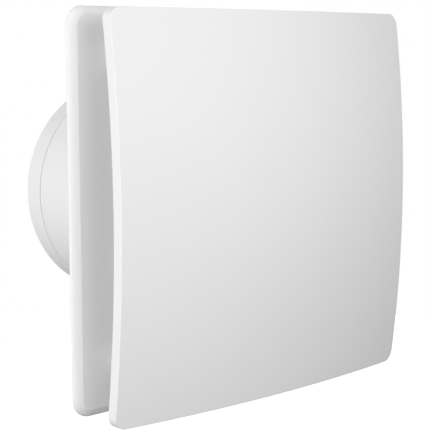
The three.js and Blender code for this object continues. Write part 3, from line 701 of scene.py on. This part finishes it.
def blade_rings(angle):
    """Sections of a twisted blade that widens and thins from its root to its tip."""
    rings = []
    for i in range(BLADE_STATIONS):
        share = i / (BLADE_STATIONS - 1)
        radius = BLADE_ROOT_R + share * (BLADE_TIP_R - BLADE_ROOT_R)
        chord = CHORD + WIDENING * share
        pitch = math.radians(PITCH_DEGREES - UNTWIST * share)
        half = (HALF_THICKNESS - THINNING * share) * (0.35 if i == BLADE_STATIONS - 1 else 1)
        ring = []
        for k in range(BLADE_POINTS):
            t = 2 * math.pi * k / BLADE_POINTS
            along = math.cos(t)
            bulge = math.sqrt(max(0.0, 1 - 0.5 * along * along)) * (1 - 0.25 * along)
            across = math.sin(t) * bulge
            a, b = along * chord / 2 * 0.998, across * half * 0.97
            sideways = a * math.cos(pitch) - b * math.sin(pitch)
            y = BLADE_Y + a * math.sin(pitch) + b * math.cos(pitch)
            turn = angle + sideways / radius
            ring.append((radius * math.cos(turn), y, radius * math.sin(turn)))
        rings.append(ring)
    return rings


bm = bmesh.new()
add_lathe(bm, [
    (0.6, -8), (4, -7.95), (8, -7.7), (12, -7.2), (15.2, -6.4), (17.2, -5.4), (18.3, -4.3),
    (18.6, -3.3), (18.6, 11.6), (18.2, 12), (16.8, 12), (16.5, 11.7), (16.5, -3.6), (2.8, -3.6),
    (2.8, -0.2), (1.8, -0.2), (1.8, -5), (0.6, -5),
], 96, closed=False)
for i in range(BLADES):
    add_loft(bm, blade_rings(i * 2 * math.pi / BLADES))
piece("fan_wheel", bm, GREY, "rotor", ["impeller"])

# The tube and its flange are notched for the lead, and the struts hold the motor's seat.
bm = bmesh.new()
add_lathe(bm, [
    (45.2, -9.7), (45.35, -10.5), (45.8, -11.3), (46.6, -12.0), (47.8, -12.5), (49.0, -12.7),
    (49.35, -12.4), (49.35, -11.9), (48.6, -11.5), (47.6, -10.6), (47.0, -9.4), (46.9, -8.6),
    (46.9, 20.1), (46.7, 20.3), (45.4, 20.3), (45.2, 20.1),
], 140)
lead_notch = bmesh.new()
add_brick(lead_notch, (-1.5, -11.1, -50), NOTCH_HI, 0.3)
bm = boolean(bm, lead_notch, "DIFFERENCE")
merge(bm, flange(FAN_FLANGE_Y, FAN_FLANGE_BORE_R, 140, notch=((-1.5, -11.1, -49.9), NOTCH_HI)))
for i in range(STRUTS):
    add_brick(bm, STRUT_LO, STRUT_HI, 0.35, i * 2 * math.pi / STRUTS)
add_lathe(bm, [
    (3.3, 14.9), (18.7, 14.9), (19, 15.2), (19, 16.6), (18.7, 16.9), (3.3, 16.9),
], 96)
add_lathe(bm, [(3.3, 0.3), (4.2, 0.3), (4.4, 0.5), (4.4, 15.9), (3.3, 15.9)], 64)
piece("fan_tube", bm, INNER, "casing", ["fan_housing"])

bm = bmesh.new()
add_lathe(bm, [
    (3.1, -3.3), (15.6, -3.3), (16.05, -3.1), (16.2, -2.7), (16.2, 11.4), (16.0, 11.6),
    (15.6, 11.6), (15.4, 11.4), (15.4, -2.2), (15.1, -2.5), (3.1, -2.5),
], 96)
piece("yoke_can", bm, SHEET_STEEL, "rotor", ["rotor_yoke"])
lo, hi = box("magnet_ring")
bm = bmesh.new()
add_lathe(bm, [
    (13.3, lo.y + 0.2), (13.5, lo.y), (14.9, lo.y), (15.1, lo.y + 0.2), (15.1, hi.y - 0.2),
    (14.9, hi.y), (13.5, hi.y), (13.3, hi.y - 0.2),
], 96)
piece("magnet_band", bm, FERRITE, "rotor", ["magnet_ring"])
lo, hi = box("motor_shaft")
bm = bmesh.new()
add_lathe(bm, [(1.1, lo.y), (1.5, lo.y + 0.4), (1.5, hi.y - 0.4), (1.1, hi.y)], 40, closed=False)
piece("shaft_pin", bm, SCREW_STEEL, "rotor", ["motor_shaft"])
for node, y0, y1 in (("front_bearing", 0.6, 4.1), ("rear_bearing", 9.6, 13.1)):
    bm = bmesh.new()
    add_lathe(bm, [
        (2.95, y0), (3.0, y0 + 0.2), (3.0, y1 - 0.2), (2.85, y1), (2.65, y1), (2.6, y1 - 0.25),
        (2.15, y1 - 0.25), (2.1, y1), (1.85, y1), (1.8, y1 - 0.15), (1.8, y0 + 0.15), (1.85, y0),
        (2.1, y0), (2.15, y0 + 0.25), (2.6, y0 + 0.25), (2.65, y0),
    ], 48)
    piece(node.replace("bearing", "race"), bm, SCREW_STEEL, "casing", [node])


# ---- lead and spring ----
def tube(name, route, radius_mm, material, body, node):
    """A round wire along a smooth route."""
    curve = bpy.data.curves.new(name, "CURVE")
    curve.dimensions = "3D"
    curve.bevel_depth = radius_mm * MM
    curve.bevel_resolution = 5
    curve.resolution_u = 10
    curve.use_fill_caps = True
    spline = curve.splines.new("BEZIER")
    spline.bezier_points.add(len(route) - 1)
    for point, place in zip(spline.bezier_points, route):
        point.co = Vector(place) * MM
        point.handle_left_type = point.handle_right_type = "AUTO"
    drawn = bpy.data.objects.new(name, curve)
    bpy.context.collection.objects.link(drawn)
    mesh = evaluated_mesh(drawn)
    bpy.data.objects.remove(drawn)
    bpy.data.curves.remove(curve)
    mesh.materials.clear()
    bm = to_bmesh(mesh)
    resize(bm, 1 / MM)
    return piece(name, bm, material, body, [node])


LEAD_X, LEAD_Y, LEAD_R = 6.2, -9.7, 0.88
tube("motor_lead_wire", [
    (LEAD_X, LEAD_Y, -66), (LEAD_X, LEAD_Y, -59.5), (LEAD_X, LEAD_Y, -53.6),
    (LEAD_X * 0.55, LEAD_Y, -50.6), (0.6, LEAD_Y + 0.1, -48.8), (0, -8.6, -46.4), (0, -5, -46),
    (0, 2, -46), (0, 9, -46), (0, 12.3, -45.7), (0, 13.6, -43.4), (0, 13.6, -36), (0, 13.6, -26),
    (0, 13.6, -15.6),
], LEAD_R, JACKET, "casing", "motor_lead")

# The spring stands between the switch and the button.
lo, hi = box("button_spring")
SPRING_X, SPRING_Y, COIL_R, WIRE_R, TURNS, COIL_STEPS = 33, -11.6, 1.6, 0.25, 3.5, 56
free_length = hi.z - lo.z
helix = []
for i in range(COIL_STEPS + 1):
    t = i / COIL_STEPS
    a = t * TURNS * 2 * math.pi
    z = lo.z + WIRE_R + t * (free_length - 2 * WIRE_R)
    helix.append((SPRING_X + COIL_R * math.cos(a), SPRING_Y + COIL_R * math.sin(a), z))
spring = tube(
    "return_spring", helix, WIRE_R * 0.98, SCREW_STEEL, "casing", "button_spring"
)
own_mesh(spring)


# ---- CAD shapes that stay, with softened edges ----
BODIES = frame["record"]["behaviour"]["bodies"]
BODY_OF = {node: body for body, nodes in BODIES.items() for node in nodes}
CREASE = 32  # degrees


def soften(node, material, radius):
    """The CAD shape with its creases rounded, as moulding or stamping leaves them."""
    mesh = bmesh.new()
    mesh.from_mesh(frame["nodes"][node].data)
    resize(mesh, 1 / MM)
    bmesh.ops.remove_doubles(mesh, verts=list(mesh.verts), dist=0.002)
    bmesh.ops.dissolve_limit(
        mesh, angle_limit=math.radians(1), verts=list(mesh.verts), edges=list(mesh.edges)
    )
    creases = [
        edge for edge in mesh.edges
        if len(edge.link_faces) == 2 and edge.calc_face_angle(0.0) > math.radians(CREASE)
    ]
    round_edges(mesh, creases, radius, 2)
    piece(node + "_piece", mesh, material, BODY_OF[node], [node], CREASE)


soften("inner_shroud", INNER, 0.3)
soften("filter_frame", INNER, 0.25)
soften("control_box", INNER, 0.25)
soften("control_box_lid", INNER, 0.4)
soften("terminal_block", INNER, 0.2)
soften("cable_clamp", GREY, 0.2)
soften("power_module", BLACK, 0.4)
soften("push_switch", BLACK, 0.3)
soften("control_board", BOARD, 0.1)
soften("motor_board", BOARD, 0.1)
soften("stator_core", LAMINATIONS, 0.1)
soften("shaft_clip", SCREW_STEEL, 0.08)
soften("status_led", CLEAR, 0.4)
for i in range(1, 5):
    soften(f"stator_coil_{i}", COPPER, 0.6)


# ---- round small parts ----
def screw(node, head_r, head_t, shank_r, length, seat):
    """A pan-head screw with a cross recess and a thread. Its head stands on y = seat."""
    _, _, x, z = box_and_axis(node)
    bm = bmesh.new()
    add_lathe(bm, [
        (0.35 * head_r, seat - head_t * 0.45), (0.42 * head_r, seat - head_t),
        (0.72 * head_r, seat - head_t * 0.96), (0.92 * head_r, seat - head_t * 0.72),
        (head_r, seat - head_t * 0.3), (0.97 * head_r, seat), (shank_r * 0.9, seat),
    ], 32, closed=False, x=x, z=z)
    pitch = shank_r * 0.7
    turns = int((length - 0.8) / pitch)
    thread = []
    for i in range(turns):
        thread += [(shank_r * 0.82, seat + i * pitch), (shank_r, seat + (i + 0.5) * pitch)]
    thread += [(shank_r * 0.82, seat + turns * pitch), (shank_r * 0.3, seat + length)]
    add_lathe(bm, thread, 24, closed=False, x=x, z=z)
    long, short = 0.42 * head_r, 0.1 * head_r
    for dx, dz in ((short, long), (long, short)):
        add_brick(
            bm, (x - dx, seat - head_t * 0.99, z - dz), (x + dx, seat - head_t * 0.8, z + dz), 0.03
        )
    piece(node + "_piece", bm, SCREW_STEEL, "casing", [node])


# head radius and depth, shank radius, length, and the seat's y
for i in range(1, 5):
    screw(f"clamping_screw_{i}", 2.9, 1.8, 1.4, 8.8, -9.4)
for i in (1, 2):
    lo, hi = box(f"lid_screw_{i}")
    screw(f"lid_screw_{i}", 2.6, 1.6, 1.1, 8, lo.y + 1.6)
    lo, hi = box(f"clamp_screw_{i}")
    screw(f"clamp_screw_{i}", 1.7, 1.1, 0.7, 4.6, lo.y + 1.1)
for i in range(1, 4):
    node = f"terminal_screw_{i}"
    lo, hi, x, z = box_and_axis(node)
    bm = bmesh.new()
    add_lathe(bm, [
        (1.5, lo.y), (1.75, lo.y + 0.15), (1.8, lo.y + 0.4), (1.8, hi.y),
    ], 32, closed=False, x=x, z=z)
    cut = bmesh.new()
    add_brick(cut, (x - 3, lo.y - 1, z - 0.3), (x + 3, lo.y + 0.6, z + 0.3), 0.05)
    bm = boolean(bm, cut, "DIFFERENCE")
    piece(node + "_piece", bm, SCREW_STEEL, "casing", [node])
for i in range(1, 5):
    node = f"cover_grommet_{i}"
    lo, hi, x, z = box_and_axis(node)
    bm = bmesh.new()
    add_lathe(bm, [
        (3.2, lo.y + 0.3), (3.5, lo.y), (3.9, lo.y), (4.2, lo.y + 0.3), (4.2, hi.y - 0.3),
        (3.9, hi.y), (3.5, hi.y), (3.2, hi.y - 0.3),
    ], 48, x=x, z=z)
    piece(node + "_piece", bm, RUBBER, "casing", [node])

_, _, x, z = box_and_axis("cable_grommet")
bm = bmesh.new()
add_lathe(bm, [
    (3.2, -6.3), (3.45, -6.5), (5.3, -6.5), (5.6, -6.35), (5.7, -6.0), (5.6, -5.5), (5.3, -5.4),
    (4.5, -5.4), (4.5, -1.1), (5.3, -1.1), (5.6, -1.0), (5.7, -0.65), (5.6, -0.3), (5.3, -0.2),
    (3.45, -0.2), (3.2, -0.4),
], 48, x=x, z=z)
piece("cable_grommet_piece", bm, RUBBER, "casing", ["cable_grommet"])

lo, hi, x, z = box_and_axis("capacitor")
bm = bmesh.new()
add_lathe(bm, [
    (1.2, lo.y + 0.1), (1.3, lo.y), (2.1, lo.y), (2.35, lo.y + 0.2), (2.4, lo.y + 0.5),
    (2.25, lo.y + 0.9), (2.4, lo.y + 1.3), (2.4, hi.y - 0.3), (2.2, hi.y),
], 40, closed=False, x=x, z=z)
piece("capacitor_piece", bm, BLACK, "casing", ["capacitor"])

lo, hi = box("mode_button")
bm = bmesh.new()
add_upright(bm, [
    (1.2, lo.z + 0.35), (2.4, lo.z + 0.1), (3.0, lo.z), (3.35, lo.z + 0.12), (3.5, lo.z + 0.45),
    (3.5, lo.z + 4.4), (4.0, lo.z + 4.4), (4.2, lo.z + 4.6), (4.2, lo.z + 5.2), (4.0, lo.z + 5.4),
    (1.0, lo.z + 5.4), (1.0, hi.z - 0.3), (0.75, hi.z),
], (lo.x + hi.x) / 2, (lo.y + hi.y) / 2)
piece("mode_button_piece", bm, WHITE, "button", ["mode_button"])
lo, hi = box("status_lens")
bm = bmesh.new()
add_upright(bm, [
    (0.9, lo.z), (1.3, lo.z + 0.15), (1.5, lo.z + 0.5), (1.5, hi.z - 0.2), (1.3, hi.z),
], (lo.x + hi.x) / 2, (lo.y + hi.y) / 2, 32)
piece("status_lens_piece", bm, CLEAR, "casing", ["status_lens"])


# ---- floor and sky ----
FLOOR_SIZE, FLOOR_Z, SKY = 6, -0.9, 0.345
bpy.ops.mesh.primitive_plane_add(size=FLOOR_SIZE, location=(0, 0, FLOOR_Z))
floor = bpy.context.object
floor.name = "studio_floor"
pale = new_material("studio_floor", (0.9, 0.9, 0.9), 0.9, Emission_Strength=1.0)
shader(pale).inputs["Emission Color"].default_value = (1, 1, 1, 1)
floor.data.materials.append(pale)
floor.visible_diffuse = floor.visible_glossy = False

# The backdrop is white where it is seen, and lights the unit more softly.
scene = bpy.context.scene
world = bpy.data.worlds.new("studio")
scene.world = world
world.use_nodes = True
nodes, links = world.node_tree.nodes, world.node_tree.links
sky, backdrop = nodes["Background"], nodes.new("ShaderNodeBackground")
for background, strength in ((sky, SKY), (backdrop, 1.0)):
    background.inputs["Color"].default_value = (1, 1, 1, 1)
    background.inputs["Strength"].default_value = strength
rays = nodes.new("ShaderNodeLightPath")
mix = nodes.new("ShaderNodeMixShader")
links.new(rays.outputs["Is Camera Ray"], mix.inputs[0])
links.new(sky.outputs[0], mix.inputs[1])
links.new(backdrop.outputs[0], mix.inputs[2])
links.new(mix.outputs[0], nodes["World Output"].inputs["Surface"])


# ---- lights, in metres and watts ----
MIDDLE = Vector((0, -0.0265, 0))


def softbox(name, place, size, power, mirrored=True):
    """A square lamp aimed at the unit. mirrored=False keeps it out of the plastic's reflections."""
    light = bpy.data.lights.new(name, "AREA")
    light.energy, light.size = power, size
    obj = bpy.data.objects.new(name, light)
    bpy.context.collection.objects.link(obj)
    obj.location = place
    obj.rotation_euler = (MIDDLE - Vector(place)).to_track_quat("-Z", "Y").to_euler()
    obj.visible_camera = False
    obj.visible_glossy = mirrored


softbox("key_left", (-1.293, -0.635, 0.456), 0.9, 10.4, mirrored=False)
softbox("key_upper_left", (-0.89, -0.842, 0.89), 0.9, 2.2)
softbox("cover_fill", (0.02, -0.24, 0.1), 0.1, 0.095, mirrored=False)
softbox("cover_fill_left", (-0.14, -0.36, 0.12), 0.15, 0.325, mirrored=False)
softbox("spigot_fill", (-0.6, 0.3, -0.06), 0.4, 1.25)
softbox("rear", (0.9, 1.5, 0.2), 1.4, 9)
softbox("right", (1.35, 0.72, 0.1), 0.9, 9)


# ---- camera ----
FRAME_PX, SENSOR = 430, 36
FOCAL_PX, SHIFT_X_PX, SHIFT_Y_PX = 1196.61, -11.02, -16.25
YAW, PITCH, ROLL, DISTANCE = 0.728, 0.1225, -0.0024, 0.48225  # radians, and metres from the aim
AIM = Vector((-0.02302, -0.0265, 0.00458))
camera_data = bpy.data.cameras.new("camera")
camera_data.sensor_width, camera_data.sensor_fit = SENSOR, "HORIZONTAL"
camera_data.lens = FOCAL_PX / FRAME_PX * SENSOR
camera_data.shift_x, camera_data.shift_y = SHIFT_X_PX / FRAME_PX, SHIFT_Y_PX / FRAME_PX
camera_data.clip_start = 0.01
level = math.cos(PITCH)
back = Vector((-math.sin(YAW) * level, -math.cos(YAW) * level, math.sin(PITCH)))
right = (-back).cross(Vector((0, 0, 1))).normalized()
up = right.cross(-back)
tilted_right = math.cos(ROLL) * right + math.sin(ROLL) * up
tilted_up = -math.sin(ROLL) * right + math.cos(ROLL) * up
view = Matrix((tilted_right, tilted_up, back)).transposed().to_4x4()
view.translation = AIM + back * DISTANCE
camera = bpy.data.objects.new("camera", camera_data)
bpy.context.collection.objects.link(camera)
camera.matrix_world = view
scene.camera = camera
scene.view_settings.view_transform = "Standard"
